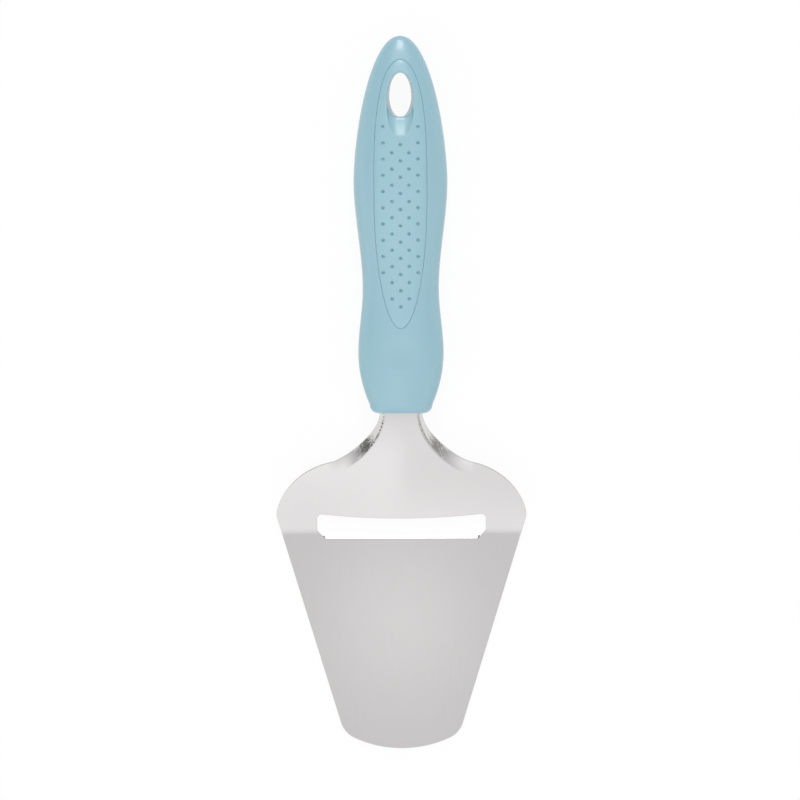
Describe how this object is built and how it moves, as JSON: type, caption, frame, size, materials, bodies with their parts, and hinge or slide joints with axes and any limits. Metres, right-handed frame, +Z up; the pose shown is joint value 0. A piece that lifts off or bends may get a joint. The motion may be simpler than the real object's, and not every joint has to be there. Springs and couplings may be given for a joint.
{
  "type": "cheese plane",
  "caption": "Cheese plane: tapered steel blade with a slicing slot and folded neck, in a moulded handle with oval pitted grip pads and a hanging hole.",
  "frame": {"origin": "bottom centre of the bounding box, on the surface that the tool lies on", "axes": "+Y along the tool from the blade's tip to the hanging end, +X across the blade, +Z up, away from the flat sole"},
  "size_m": [0.0842, 0.24, 0.02],
  "materials": {
    "blade_steel": "satin stainless sheet",
    "handle_plastic": "pale blue moulded polypropylene, semi-matt",
    "grip_plastic": "pale blue soft grip elastomer, matt"
  },
  "bodies": {
    "root": {"blade": "blade_steel", "handle_body": "handle_plastic", "front_grip_pad": "grip_plastic", "back_grip_pad": "grip_plastic"}
  },
  "joints": []
}
